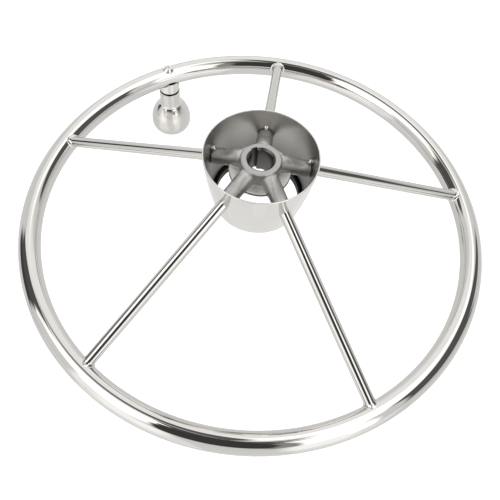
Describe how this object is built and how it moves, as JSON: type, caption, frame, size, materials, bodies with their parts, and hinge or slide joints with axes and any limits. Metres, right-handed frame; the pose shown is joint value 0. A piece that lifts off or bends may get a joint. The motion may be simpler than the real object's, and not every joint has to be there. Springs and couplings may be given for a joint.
{
  "type": "boat steering wheel",
  "caption": "Stainless boat steering wheel: dished spokes, cone-shaped hub shell over a cast boss with a taper bore, and a turning knob under the rim.",
  "frame": {"origin": "centre of the taper bore's mouth, on the back face of the hub boss", "axes": "+Z out of the bore's mouth along the helm shaft, towards the dash, with the rim below the hub; +X to the right and +Y away from a viewer who sees the back as the picture does"},
  "size_m": [0.3939, 0.394, 0.1656],
  "materials": {
    "rim_steel": "mirror-polished stainless tube",
    "spoke_steel": "mirror-polished stainless rod",
    "cast_steel": "shot-blasted stainless casting with a machined boss face",
    "shell_steel": "polished outside, dull spun finish inside",
    "seat_rubber": "black rubber",
    "weld_steel": "bright weld metal",
    "screw_steel": "polished stainless",
    "pad_rubber": "black rubber",
    "spindle_steel": "polished stainless",
    "washer_bronze": "plain bronze",
    "clip_steel": "spring steel",
    "bush_plastic": "black acetal",
    "grip_steel": "polished stainless",
    "plug_plastic": "black moulded plug"
  },
  "bodies": {
    "wheel": {"rim": "rim_steel", "spoke_1": "spoke_steel", "spoke_2": "spoke_steel", "spoke_3": "spoke_steel", "spoke_4": "spoke_steel", "spoke_5": "spoke_steel", "hub_spider": "cast_steel", "hub_shell": "shell_steel", "cap_seat_ring": "seat_rubber", "shell_tack_welds": "weld_steel", "knob_screw": "screw_steel", "knob_saddle_pad": "pad_rubber", "knob_spindle": "spindle_steel", "knob_thrust_washer": "washer_bronze", "knob_retaining_clip": "clip_steel"},
    "knob": {"knob_grip": "grip_steel", "knob_upper_bush": "bush_plastic", "knob_lower_bush": "bush_plastic", "knob_end_plug": "plug_plastic"}
  },
  "joints": [
    {"name": "knob_spin", "type": "hinge", "parent": "wheel", "child": "knob", "pos_m": [-0.0999, 0.15926, -0.12], "axis": [0, 0, 1], "continuous": true}
  ]
}
